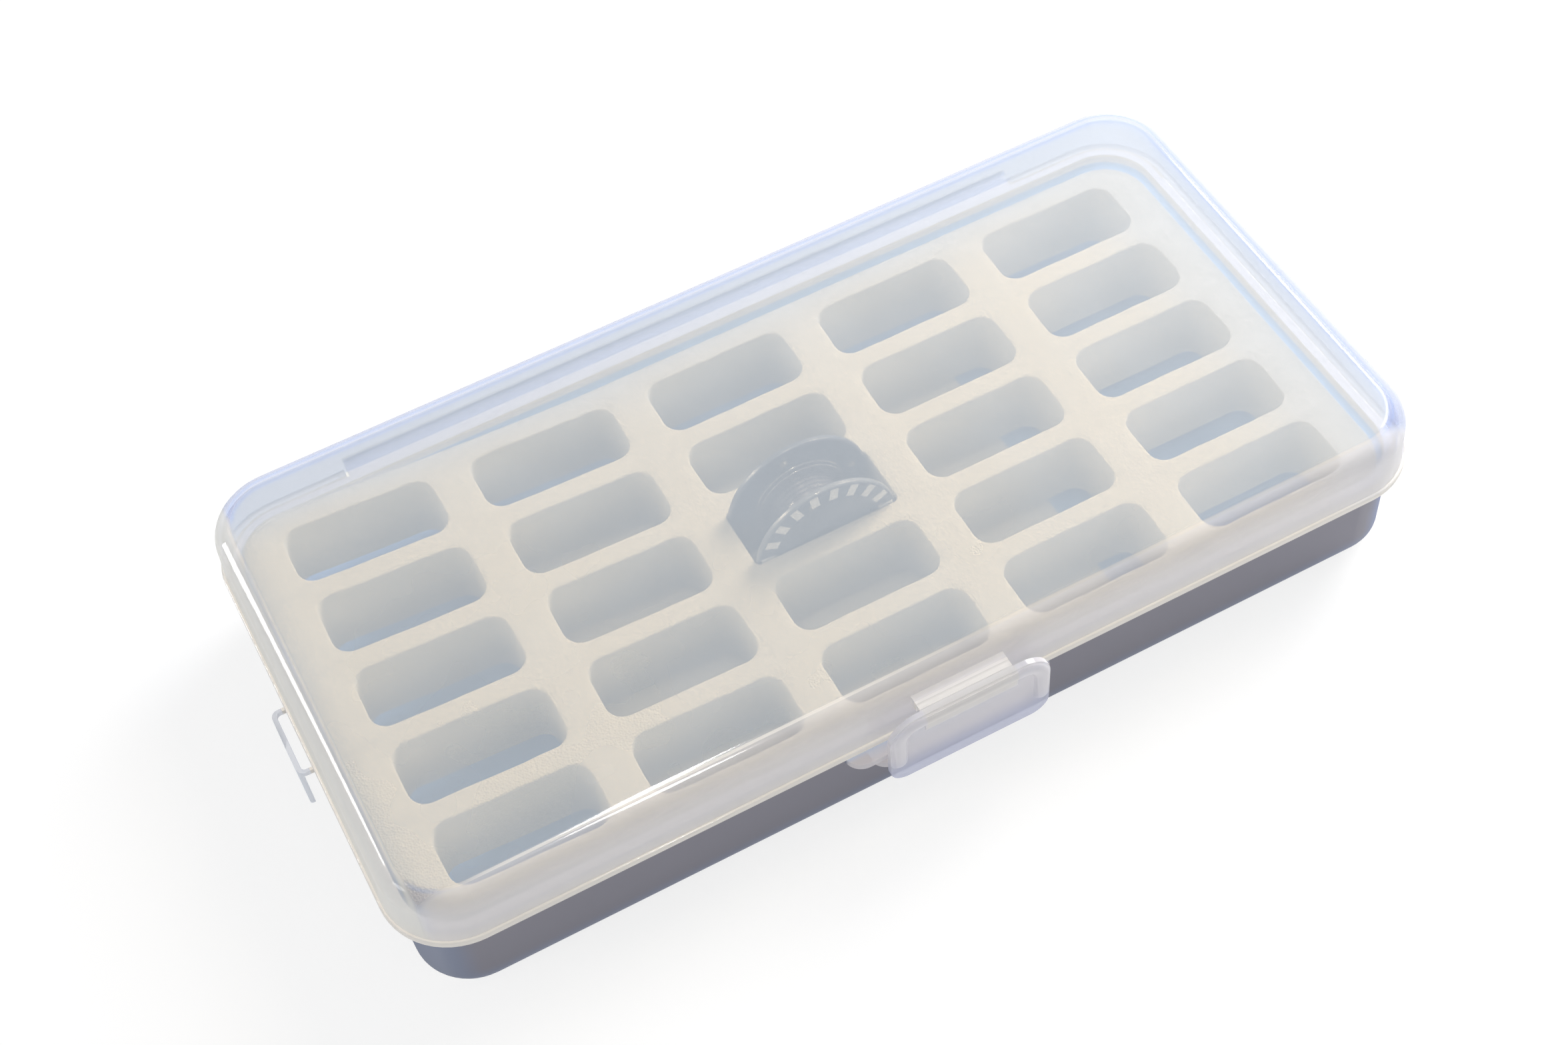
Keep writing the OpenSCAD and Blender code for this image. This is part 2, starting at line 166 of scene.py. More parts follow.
class BobbinBoxLatch(bpy.types.PropertyGroup):
    """Looks of the latch flap."""

    colour: colour("Flap", "Upper part of the flap", (0.95, 0.93, 0.97))
    # Painted reflection: the flap turns blue-violet towards its lower edge for the blue reflections
    # along it.
    foot: colour("Foot", "Lower edge of the flap", (0.62, 0.66, 0.90))
    tint: colour("Tint", "Light through it, so that it shows over white", (0.94, 0.945, 0.97))
    haze: share("Haze", "How milky the plate is", 0.31)
    rib_haze: share("Rib haze", "How milky the rib is", 0.52)


class BobbinBoxFoam(bpy.types.PropertyGroup):
    """Sizes and looks of the foam insert."""

    pitch_x: length("Pitch along", "Distance from slot to slot along the box", 33.0)
    pitch_y: length("Pitch across", "Distance from slot to slot across the box", 15.7)
    slot_x: length("Slot length", "Length of a slot", 26.0)
    slot_y: length("Slot width", "Width of a slot", 11.8)
    slot_r: length("Slot corners", "Corner radius of a slot", 3.0)
    held_slot_r: length("Held slot corners", "Corner radius of the bobbin's own slot", 0.8)
    corner_r: length("Corners", "Corner radius of the insert", 7.9)
    cut_r: length("Cut edge", "Rounding along the top of each cut", 0.35)
    foot: length("Foot", "How high the underside stands above the tray's floor", 1.7)
    lift: length("Lifted end", "How far the left end has risen at the back", 4.4)
    lift_start: length("Lift start", "Where the risen end starts, left of the middle", 22.0)
    colour: colour("Foam", "Skin on top", (0.82, 0.77, 0.66))
    wall_colour: colour("Cut walls", "Walls of the slots", (0.86, 0.84, 0.77))
    # Painted shade and light: the cut walls darken towards the floor, and are lighter at the right
    # end where more light falls.
    lit_wall_right_colour: colour("Cut walls, right", "Walls at the right end", (0.93, 0.91, 0.86))
    deep_shade_colour: colour("Deep walls", "Walls near the floor", (0.55, 0.554, 0.539))
    deep_shade_right_colour: colour("Deep walls, right", "The same at the right end", (0.74, 0.735, 0.70))


class BobbinBoxLabel(bpy.types.PropertyGroup):
    """Looks of the blank label."""

    colour: colour("Paper", "Colour of the paper", (0.96, 0.92, 0.80))
    fibre_colour: colour("Fibres", "Darker colour of its fibres", (0.90, 0.84, 0.70))


class BobbinBoxBobbin(bpy.types.PropertyGroup):
    """Looks of the bobbin and its edge marks."""

    colour: colour("Bobbin", "Colour of the flanges", (0.035, 0.055, 0.10))
    # Painted highlight: a paler band round the flanges' rims, strongest on the front flange.
    edge_highlight_colour: colour("Edge", "Colour along the flanges' edges", (0.17, 0.19, 0.23))
    hub_colour: colour("Hub", "Colour of the hub between the flanges", (0.10, 0.10, 0.13))
    # Painted light: the thread holes are painted pale beige for the light that shows through them.
    hole_light_colour: colour("Thread holes", "Colour inside the thread holes", (0.42, 0.40, 0.37))
    mark_colour: colour("Marks", "Colour of the marks round the flanges", (0.92, 0.93, 0.95))
    worn_colour: colour("Worn marks", "Colour of the marks where worn", (0.70, 0.72, 0.76))
    marks: bpy.props.IntProperty(
        name="Marks", description="Number of marks round a flange", default=20, min=3, max=60,
    )
    mark_in: length("Inner end", "Distance of a mark's inner end from the axis", 9.8)
    mark_out: length("Outer end", "Distance of a mark's outer end from the axis", 12.3)
    mark_width: length("Width", "Width of a mark", 1.5)


class BobbinBoxStage(bpy.types.PropertyGroup):
    """Light and camera."""

    floor_colour: colour("Floor", "Colour of the floor", (0.86, 0.86, 0.86))
    lamp_colour: colour("Lamps", "Colour of the lamps", (1.0, 0.97, 0.94))
    ambient_colour: colour("Ambient colour", "Light from all round", (0.96, 0.98, 1.0))
    ambient: share("Ambient", "Strength of the light from all round", 0.49)
    key_power: bpy.props.FloatProperty(
        name="Key light", description="Power of the key light", default=3.7, min=0.0, unit="POWER",
    )
    fill_share: share("Fill light", "Power of the fill light as a share of the key's", 0.34)
    lens: bpy.props.FloatProperty(
        name="Lens", description="Focal length on a 36 mm sensor", default=55.40, min=10.0,
        subtype="DISTANCE_CAMERA",
    )


GROUPS = {
    "bobbin_box_lid": BobbinBoxLid,
    "bobbin_box_tray": BobbinBoxTray,
    "bobbin_box_latch": BobbinBoxLatch,
    "bobbin_box_foam": BobbinBoxFoam,
    "bobbin_box_label": BobbinBoxLabel,
    "bobbin_box_bobbin": BobbinBoxBobbin,
    "bobbin_box_stage": BobbinBoxStage,
}


# Node and mesh helpers ------------------------------


class Nodes:
    """A material or world node tree that is built up in a few words."""

    def __init__(self, tree):
        self.tree = tree
        tree.nodes.clear()

    def add(self, kind, *sources, **values):
        """A new node. Values go to its fields or sockets, sources to its first inputs."""
        made = self.tree.nodes.new(kind)
        for key, value in values.items():
            socket = made.inputs.get(key.replace("_", " "))
            if socket is None:
                setattr(made, key, value)
            else:
                self.give(socket, value)
        for socket, source in zip(made.inputs, sources):
            self.give(socket, source)
        return made

    def give(self, socket, value):
        """Link another node's socket to a socket, or set its plain value."""
        if isinstance(value, bpy.types.NodeSocket):
            self.tree.links.new(value, socket)
        elif socket.type == "RGBA":
            socket.default_value = (*value[:3], 1.0)
        else:
            socket.default_value = value

    def math(self, operation, *sources, clamp=False):
        """One Math node's result."""
        return self.add("ShaderNodeMath", *sources, operation=operation, use_clamp=clamp).outputs[0]

    def product(self, first, *others):
        """All values multiplied."""
        for other in others:
            first = self.math("MULTIPLY", first, other)
        return first

    def largest(self, first, *others):
        """The largest of the values."""
        for other in others:
            first = self.math("MAXIMUM", first, other)
        return first

    def opposite(self, value):
        """0 for 1 and 1 for 0."""
        return self.math("SUBTRACT", 1.0, value)

    def distance(self, a, b):
        """How far a point is from the middle, by its two parts."""
        return self.math("SQRT", self.math("MULTIPLY_ADD", a, a, self.math("MULTIPLY", b, b)))

    def ramp(self, value, low, high, to_low=0.0, to_high=1.0):
        """A value mapped from one range to another, smoothly and within its ends."""
        return self.add(
            "ShaderNodeMapRange", value, low, high, to_low, to_high,
            interpolation_type="SMOOTHSTEP",
        ).outputs[0]

    def fall(self, value, low, high):
        """1 below a range and 0 above it."""
        return self.ramp(value, low, high, 1.0, 0.0)

    def choose(self, mask, off, on):
        """One number where a mask is 0 and another where it is 1."""
        return self.ramp(mask, 0.0, 1.0, off, on)

    def blend(self, mask, off, on):
        """One colour where a mask is 0 and another where it is 1."""
        made = self.add("ShaderNodeMix", data_type="RGBA")
        factor, first, second = (made.inputs[index] for index in (0, 6, 7))
        self.give(factor, mask)
        self.give(first, off)
        self.give(second, on)
        return made.outputs[2]

    def bump(self, height, distance, strength=1.0):
        """A bump from a height, in metres."""
        made = self.add("ShaderNodeBump", Height=height, Distance=distance, Strength=strength)
        return made.outputs[0]

    def place(self, output="Object"):
        """The piece's own coordinates or its normal."""
        return self.add("ShaderNodeTexCoord").outputs[output]

    def xyz(self, output="Object"):
        """The three parts of the piece's own coordinates or of its normal."""
        return self.add("ShaderNodeSeparateXYZ", self.place(output)).outputs

    def grain(self, scale, detail=3.0, roughness=0.5):
        """Noise over the piece's own coordinates, scale per metre."""
        return self.add(
            "ShaderNodeTexNoise", Vector=self.place(), Scale=scale, Detail=detail,
            Roughness=roughness,
        ).outputs["Fac"]

    def finish(self, shader, kind="ShaderNodeOutputMaterial"):
        """Lead a shader to the tree's output."""
        self.tree.links.new(shader, self.add(kind).inputs[0])

    def solid(self, **values):
        """End the tree with a Principled shader."""
        self.finish(self.add("ShaderNodeBsdfPrincipled", **values).outputs[0])


def material(name):
    """A new material and its empty node tree."""
    made = bpy.data.materials.new(name)
    made.use_nodes = True
    return made, Nodes(made.node_tree)


def dress(node, finish):
    """Give a CAD node a material."""
    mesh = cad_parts[node].data
    mesh.materials.clear()
    mesh.materials.append(finish)


def piece(name, mesh, finish, body=None):
    """A new piece of the box from a bmesh, riding on a body."""
    data = bpy.data.meshes.new(name)
    bmesh.ops.recalc_face_normals(mesh, faces=mesh.faces)
    mesh.to_mesh(data)
    mesh.free()
    made = bpy.data.objects.new(name, data)
    bpy.context.scene.collection.objects.link(made)
    data.materials.append(finish)
    if body:
        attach(made, body)
    return made


def smooth(obj, degrees=40.0):
    """Smooth shading with sharp edges past an angle."""
    obj.data.polygons.foreach_set("use_smooth", [True] * len(obj.data.polygons))
    obj.data.set_sharp_from_angle(angle=math.radians(degrees))


def bridge(mesh, a, b):
    """Join two closed loops of as many vertices with faces."""
    for i in range(len(a)):
        j = (i + 1) % len(a)
        mesh.faces.new((a[i], a[j], b[j], b[i]))


# Plastic ------------------------------

CLEAR = (1.0, 1.0, 1.0)
PLASTIC_IOR = 1.49
MILK_ROUGHNESS = 0.6
WAVE_SCALE = 60.0  # slow waves in the moulding, per metre
GRAIN_SCALE = 2600.0  # fine grain of the frosting, per metre
GRAIN_SHARE = 0.25  # height of the grain beside the waves
RIPPLE = 0.003 * MM  # height of the waves
MOTTLING = 0.05  # how much the haze varies with the waves
STEEPEST = 0.25  # a slanting look goes through at most 1 / 0.25 walls
LIGHT_PASSES = 0.85  # share of the haze that doesn't hold up light
MIRROR_IOR = 1.4
MIRROR_MOST = 0.16  # strongest mirror image at a slanting look

# From where to where each part begins or ends, along an axis or by a part of the normal
TOP_HEIGHT = span(LID_HIGH.z, -2.2, -1.4)
TOP_FLAT = (0.985, 0.9995)
# The brow is a painted highlight line where the flat top bends down, faded out to the left and the
# right.
BROW_HEIGHT = span(LID_HIGH.z, -0.8, -0.5)
BROW_STARTS = (0.955, 0.975)
BROW_ENDS = (0.990, 0.996)
BROW_LEFT = span(0.0, -84.0, -70.0)
BROW_RIGHT = span(0.0, -30.0, 30.0)
BROW_LEFT_FADE = (0.35, 0.8)
BROW_RIGHT_FADE = (1.0, 0.3)
SHOULDER_STARTS = (0.2, 0.4)
SHOULDER_ENDS = (0.90, 0.96)
LEFT_WALL = span(TRAY_LOW.x, 2.0, 3.5)
FRONT_WALL = span(LID_LOW.y, 4.2, 6.2)
LOOP = span(LID_LOW.x, 1.8, 2.0)
BEAD = span(LID_HIGH.z, -10.0, -9.75)
NECK_FRONT = span(LID_LOW.y, 0.4, 0.7)
NECK_FOOT = span(LID_HIGH.z, -7.8, -7.4)
NECK_SIDES = span(0.0, 9.0, 9.5)
FLAP_NECK_FOOT = span(LID_HIGH.z, -7.4, -6.0)
FLAP_NECK_SIDES = span(0.0, 7.6, 8.3)
FLAP_RIB = span(FLAP_LOW.y, 0.35, 0.65)
FLAP_REFLECTION_FOOT = span(FLAP_LOW.z, 0.0, 8.0)
OUTWARD = span(0.0, 4.0, 12.0)
RIM = span(TRAY_HIGH.z, -2.0, -1.6)
INNER_EDGE = span(TRAY_HIGH.z, -0.7, -0.5)
UPRIGHT = (0.5, 0.8)
SHELVES = span(TRAY_LOW.y, 2.0, 2.6)
FLOOR = span(TRAY_LOW.z, 1.3, 1.8)
# Where the tray's painted shade turns bluer at the foot and goes from the darker left end to the
# lighter right end.
FOOT = span(TRAY_LOW.z, 1.0, 4.5)
ROUND_END = (0.15, 0.6)
LIT_RIGHT_END = span(0.0, 50.0, 80.0)
LABEL_EDGE = 0.2 * MM


def frosted(name, look, gloss=0.07):
    """Milky see-through plastic.

    look takes the node tree and gives the colour of the milk, the haze, the tint of light that
    goes through and the strength of the shine.
    """
    made, nt = material(name)
    milk_colour, haze, through, shine = look(nt)
    waves = nt.grain(WAVE_SCALE, 2.0)
    grain = nt.grain(GRAIN_SCALE, 2.0)
    bump = nt.bump(nt.math("MULTIPLY_ADD", grain, GRAIN_SHARE, waves), RIPPLE)
    milk = nt.add(
        "ShaderNodeBsdfPrincipled", Base_Color=milk_colour, Roughness=MILK_ROUGHNESS,
        IOR=PLASTIC_IOR, Specular_IOR_Level=0.0, Normal=bump,
    )
    clear = nt.add("ShaderNodeBsdfTransparent", Color=through)
    milky = nt.math("MULTIPLY_ADD", nt.math("SUBTRACT", waves, 0.5), MOTTLING, haze, clamp=True)
    # A slanting look goes through more of the wall
    slanting = nt.add("ShaderNodeLayerWeight", Blend=0.5).outputs["Facing"]
    walls = nt.math("DIVIDE", 1.0, nt.math("MAXIMUM", nt.opposite(slanting), STEEPEST))
    milky = nt.opposite(nt.math("POWER", nt.opposite(milky), walls))
    # Light passes the milky plastic more freely than sight does
    path = nt.add("ShaderNodeLightPath").outputs
    light = nt.largest(path["Is Shadow Ray"], path["Is Diffuse Ray"])
    milky = nt.product(milky, nt.math("MULTIPLY_ADD", light, -LIGHT_PASSES, 1.0))
    see = nt.add("ShaderNodeMixShader", milky, clear.outputs[0], milk.outputs[0])
    # Only the face that is looked at mirrors
    mirror = nt.add("ShaderNodeBsdfGlossy", Roughness=gloss, Normal=bump)
    fresnel = nt.add("ShaderNodeFresnel", IOR=MIRROR_IOR, Normal=bump).outputs[0]
    front = nt.opposite(nt.add("ShaderNodeNewGeometry").outputs["Backfacing"])
    strength = nt.product(nt.math("MINIMUM", fresnel, MIRROR_MOST), front, shine)
    nt.finish(nt.add("ShaderNodeMixShader", strength, see.outputs[0], mirror.outputs[0]).outputs[0])
    return made


class Places:
    """Masks of the parts of the lid, the tray and the latch: 1 in the part, 0 elsewhere."""

    def __init__(self, nt):
        self.ramp, self.fall, self.product, self.math = nt.ramp, nt.fall, nt.product, nt.math
        self.x, self.y, self.z = nt.xyz()
        self.out_x, self.out_y, self.up = nt.xyz("Normal")

    def top(self):
        """The lid's flat top."""
        flat = self.ramp(self.math("ABSOLUTE", self.up), *TOP_FLAT)
        return self.product(flat, self.ramp(self.z, *TOP_HEIGHT))

    def brow_highlight(self):
        """The line where the lid's flat top starts to bend down, painted as a highlight line."""
        starts = self.ramp(self.up, *BROW_STARTS)
        ends = self.fall(self.up, *BROW_ENDS)
        return self.product(starts, ends, self.ramp(self.z, *BROW_HEIGHT))

    def brow_strength(self):
        """How that painted highlight line fades to the left and the right."""
        left = self.ramp(self.x, *BROW_LEFT, *BROW_LEFT_FADE)
        right = self.ramp(self.x, *BROW_RIGHT, *BROW_RIGHT_FADE)
        return self.product(left, right)

    def shoulder(self):
        """The bend from the lid's top into its walls."""
        starts = self.ramp(self.up, *SHOULDER_STARTS)
        return self.product(starts, self.fall(self.up, *SHOULDER_ENDS))

    def across(self):
        """Distance from the middle of the latch, along the front."""
        middle = (FLAP_LOW.x + FLAP_HIGH.x) / 2
        return self.math("ABSOLUTE", self.math("SUBTRACT", self.x, middle))

    def neck(self):
        """Where the lid's front runs out to the latch."""
        front = self.fall(self.y, *NECK_FRONT)
        above = self.ramp(self.z, *NECK_FOOT)
        return self.product(front, above, self.fall(self.across(), *NECK_SIDES))

    def flap_neck(self):
        """The top of the flap's middle, under the neck."""
        middle = self.fall(self.across(), *FLAP_NECK_SIDES)
        return self.product(middle, self.ramp(self.z, *FLAP_NECK_FOOT))

    def outside(self):
        """Faces of the tray that look out of the box."""
        lean = self.math("MULTIPLY_ADD", self.x, self.out_x, self.product(self.y, self.out_y))
        return self.ramp(lean, *OUTWARD)

    def inner_edge_highlight(self):
        """The top edge of the tray's inner wall, painted white as a highlight line."""
        upright = self.fall(self.math("ABSOLUTE", self.up), *UPRIGHT)
        inside = self.math("SUBTRACT", 1.0, self.outside())
        return self.product(self.ramp(self.z, *INNER_EDGE), upright, inside)

    def over_label(self):
        """Where the label lies under the tray's floor."""
        sides = []
        for place, low, high in (
            (self.x, LABEL_LOW.x, LABEL_HIGH.x), (self.y, LABEL_LOW.y, LABEL_HIGH.y),
        ):
            sides.append(self.ramp(place, low - LABEL_EDGE, low + LABEL_EDGE))
            sides.append(self.fall(place, high - LABEL_EDGE, high + LABEL_EDGE))
        return self.product(*sides)


class BOBBINBOX_OT_plastic(bpy.types.Operator):
    """Give the tray, lid and latch their frosted plastic"""

    bl_idname = "bobbinbox.plastic"
    bl_label = "Frosted plastic"

    def execute(self, context):
        scene = context.scene
        lid, tray, latch = scene.bobbin_box_lid, scene.bobbin_box_tray, scene.bobbin_box_latch
        dress("lid", frosted("frosted lid", lambda nt: self.lid(nt, lid)))
        dress("tray", frosted("frosted tray", lambda nt: self.tray(nt, tray), gloss=0.22))
        neck = lid.neck_colour
        flap = frosted("frosted latch", lambda nt: self.flap(nt, latch, neck), gloss=0.08)
        dress("latch_flap", flap)
        return {"FINISHED"}

    def lid(self, nt, looks):
        """The lid's look, as frosted() takes it."""
        at = Places(nt)
        top, brow_highlight, shoulder, neck = at.top(), at.brow_highlight(), at.shoulder(), at.neck()
        left = nt.fall(at.x, *LEFT_WALL)
        pale = nt.largest(nt.fall(at.y, *FRONT_WALL), left)
        bead = nt.fall(at.z, *BEAD)
        loop = nt.fall(at.x, *LOOP)

        # Painted light: cool blue back and right walls, paler and warmer front and left walls, and
        # a lavender bend as a painted reflection.
        sides = nt.blend(pale, looks.side_colour, looks.front_colour)
        sides = nt.blend(shoulder, sides, nt.blend(pale, looks.shoulder_colour, sides))
        sides = nt.blend(left, sides, looks.left_colour)
        milk = nt.blend(top, sides, looks.top_colour)
        # Painted highlight: the bead and the brow take the pale edge colour.
        milk = nt.blend(nt.largest(bead, brow_highlight), milk, looks.edge_highlight_colour)
        milk = nt.blend(neck, milk, looks.neck_colour)
        milk = nt.blend(loop, milk, looks.loop_colour)

        walls = nt.choose(pale, looks.side_haze, looks.front_haze)
        walls = nt.product(walls, nt.choose(left, 1.0, looks.left_share))
        beads = nt.choose(pale, looks.side_bead_haze, looks.bead_haze)
        haze = nt.largest(
            nt.choose(top, walls, looks.top_haze),
            nt.product(bead, beads),
            nt.product(brow_highlight, pale, at.brow_strength()),
            nt.product(neck, looks.neck_haze),
        )
        haze = nt.choose(loop, haze, looks.loop_haze)

        # Partly painted light colour: a warm tint through the top and cool tints through the back
        # and right walls.
        through = nt.blend(shoulder, looks.side_tint, looks.shoulder_tint)
        through = nt.blend(pale, through, looks.front_tint)
        through = nt.blend(top, through, looks.top_tint)

        shine = nt.choose(nt.largest(pale, top), looks.side_shine, 1.0)
        return milk, haze, through, shine

    def tray(self, nt, looks):
        """The tray's look, as frosted() takes it."""
        at = Places(nt)
        outside, inner_edge_highlight = at.outside(), at.inner_edge_highlight()
        floor = nt.fall(at.z, *FLOOR)
        rim = nt.ramp(at.z, *RIM)
        shelves = nt.fall(at.y, *SHELVES)
        round_end = nt.ramp(nt.math("ABSOLUTE", at.out_x), *ROUND_END)

        # Painted shade and light: dark outside, bluer at the foot, darker left end and lighter
        # right end.
        side = nt.blend(nt.ramp(at.z, *FOOT), looks.foot, looks.outside)
        ends = nt.blend(nt.ramp(at.x, *LIT_RIGHT_END), looks.left_end, looks.right_end)
        side = nt.blend(round_end, side, ends)
        # Painted light: a pale copy of the lit label on the floor above it.
        base = nt.blend(at.over_label(), looks.floor, looks.lit_label_floor)
        inner = nt.blend(floor, looks.inside, base)
        milk = nt.blend(outside, inner, side)
        milk = nt.blend(rim, milk, looks.rim)
        milk = nt.blend(shelves, milk, looks.shelf)
        # Painted highlight along the inner top edge.
        milk = nt.blend(inner_edge_highlight, milk, looks.inner_edge_highlight)

        haze = nt.largest(
            nt.choose(outside, looks.inside_haze, looks.outside_haze),
            nt.product(floor, looks.floor_haze),
            nt.product(rim, looks.rim_haze),
            inner_edge_highlight,
        )
        haze = nt.choose(shelves, haze, looks.shelf_haze)
        return milk, haze, CLEAR, 1.0

    def flap(self, nt, looks, neck_colour):
        """The latch flap's look, as frosted() takes it."""
        at = Places(nt)
        # Painted reflection: blue-violet towards the flap's lower edge.
        plate = nt.blend(nt.ramp(at.z, *FLAP_REFLECTION_FOOT), looks.foot, looks.colour)
        milk = nt.blend(at.flap_neck(), plate, neck_colour)
        haze = nt.choose(nt.fall(at.y, *FLAP_RIB), looks.haze, looks.rib_haze)
        return milk, haze, looks.tint, 1.0


# Living hinges ------------------------------

BACK_WALL = 0.45 * MM  # thickness of the bent strip at the back
BACK_ARC = 16  # steps round its bend
BACK_LENGTHS = 32  # steps along it
FRONT_THIN = 0.16 * MM  # how much the latch's strip thins in its middle
FRONT_ARC = 8  # steps over that hollow
FRONT_LENGTHS = 8  # steps along it


def bar(outline, x0, x1, steps):
    """A bar along X with the same section from end to end, its outline in (y, z)."""
    mesh = bmesh.new()
    rings = [
        [mesh.verts.new((x0 + (x1 - x0) * i / steps, y, z)) for y, z in outline]
        for i in range(steps + 1)
    ]
    for a, b in zip(rings, rings[1:]):
        bridge(mesh, a, b)
    mesh.faces.new(rings[0])
    mesh.faces.new(rings[-1])
    return mesh


class BOBBINBOX_OT_hinges(bpy.types.Operator):
    """Make the two living hinges: a strip bent round at the back and a thinned strip under the
    latch
    """

    bl_idname = "bobbinbox.hinges"
    bl_label = "Living hinges"

    def execute(self, context):
        looks = context.scene.bobbin_box_lid
        web = frosted("hinge plastic", lambda nt: (looks.neck_colour, looks.hinge_haze, CLEAR, 1.0))

        low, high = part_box("hinge_web")
        middle = (low.z + high.z) / 2
        outer = high.y - low.y
        inner = outer - BACK_WALL
        turns = [math.radians(-90 + 180 * i / BACK_ARC) for i in range(BACK_ARC + 1)]
        outline = [
            (low.y + outer * math.cos(t), middle + outer * math.sin(t)) for t in turns
        ] + [
            (low.y + inner * math.cos(t), middle + inner * math.sin(t)) for t in reversed(turns)
        ]
        back = piece("back_hinge_web", bar(outline, low.x, high.x, BACK_LENGTHS), web)
        smooth(back)
        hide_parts("hinge_web")
        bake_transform(back)

        low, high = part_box("latch_web")
        steps = [low.y + (high.y - low.y) * i / FRONT_ARC for i in range(FRONT_ARC + 1)]
        hollow = [FRONT_THIN * math.sin(math.pi * i / FRONT_ARC) for i in range(FRONT_ARC + 1)]
        outline = [(y, low.z + t) for y, t in zip(steps, hollow)]
        outline += [(y, high.z) for y in reversed(steps)]
        front = piece("latch_hinge_web", bar(outline, low.x, high.x, FRONT_LENGTHS), web)
        smooth(front)
        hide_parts("latch_web")
        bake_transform(front)
        return {"FINISHED"}


# Foam insert ------------------------------

SLOTS = 5  # slots along the box and across it
ALONG, ACROSS = 8, 4  # steps along a slot's long and short sides
TURN = 3  # steps over half a corner
CUT_TURNS = (30, 60, 90)  # degrees round a cut's soft edge
WALL_STEPS = 5  # steps down a slot's wall
OUTER_STEPS = 3  # steps down the insert's outside
WAVES = 190.0  # size of the uneven cuts, per metre
WAVES_SEED = 1
UNEVEN = 0.14 * MM  # how far the cuts wander
UNEVEN_TOP = 0.05 * MM  # how far the top does
UPPER = 10.0 * MM  # height from which the top is uneven
LIFT_BEND = 1.25  # how fast the risen end bends up
LIFT_FRONT = 0.62  # rise of its front corner beside the back one
LIFT_SLOPE = 1.25  # how fast the rise grows towards the back
HELD_MARGIN = (3.0 * MM, 1.9 * MM)  # foam that stays even along and across the bobbin's slot
DEEP_SHADE_WALL = span(0.0, 3.0, 15.5)  # height over which the slots' walls turn from the painted shade near the floor to their lighter colour above
LIT_RIGHT_PART = span(0.0, 5.0, 65.0)  # where they turn from the left colours to the right ones, painted lighter where more light falls
SKIN_FLAT = (0.35, 0.9)  # how level a face is where cut walls turn into skin
MOTTLES, PITS, CELLS = 70.0, 900.0, 2600.0  # sizes of the foam's grain, per metre
PIT_DEPTH = 0.18 * MM


def rounded_loop(x0, x1, y0, y1, radii):
    """Points round a rectangle, counter-clockwise, starting half way round its first corner.

    radii are those of the corners at (x0, y0), (x1, y0), (x1, y1) and (x0, y1). Every loop has
    the same number of points a side, so that two loops bridge point to point.
    """
    corners = [(x0, y0, 180), (x1, y0, 270), (x1, y1, 0), (x0, y1, 90)]
    centres = []
    for (x, y, start), r in zip(corners, radii):
        cx = x + r if x == x0 else x - r
        cy = y + r if y == y0 else y - r
        centres.append((cx, cy, r, start))
    points = []

    def turned(cx, cy, r, degrees):
        """The point on a corner's circle at an angle."""
        turn = math.radians(degrees)
        return cx + r * math.cos(turn), cy + r * math.sin(turn)

    for side in range(4):
        cx, cy, r, start = centres[side]
        nx, ny, nr, nstart = centres[(side + 1) % 4]
        points += [turned(cx, cy, r, start + 45 + 45 * i / TURN) for i in range(TURN)]
        first = turned(cx, cy, r, start + 90)
        last = turned(nx, ny, nr, start + 90)
        count = ALONG if side % 2 == 0 else ACROSS
        for i in range(count + 1):
            points.append(tuple(a + (b - a) * (i / count) for a, b in zip(first, last)))
        points += [turned(nx, ny, nr, nstart + 45 * i / TURN) for i in range(1, TURN)]
    return points


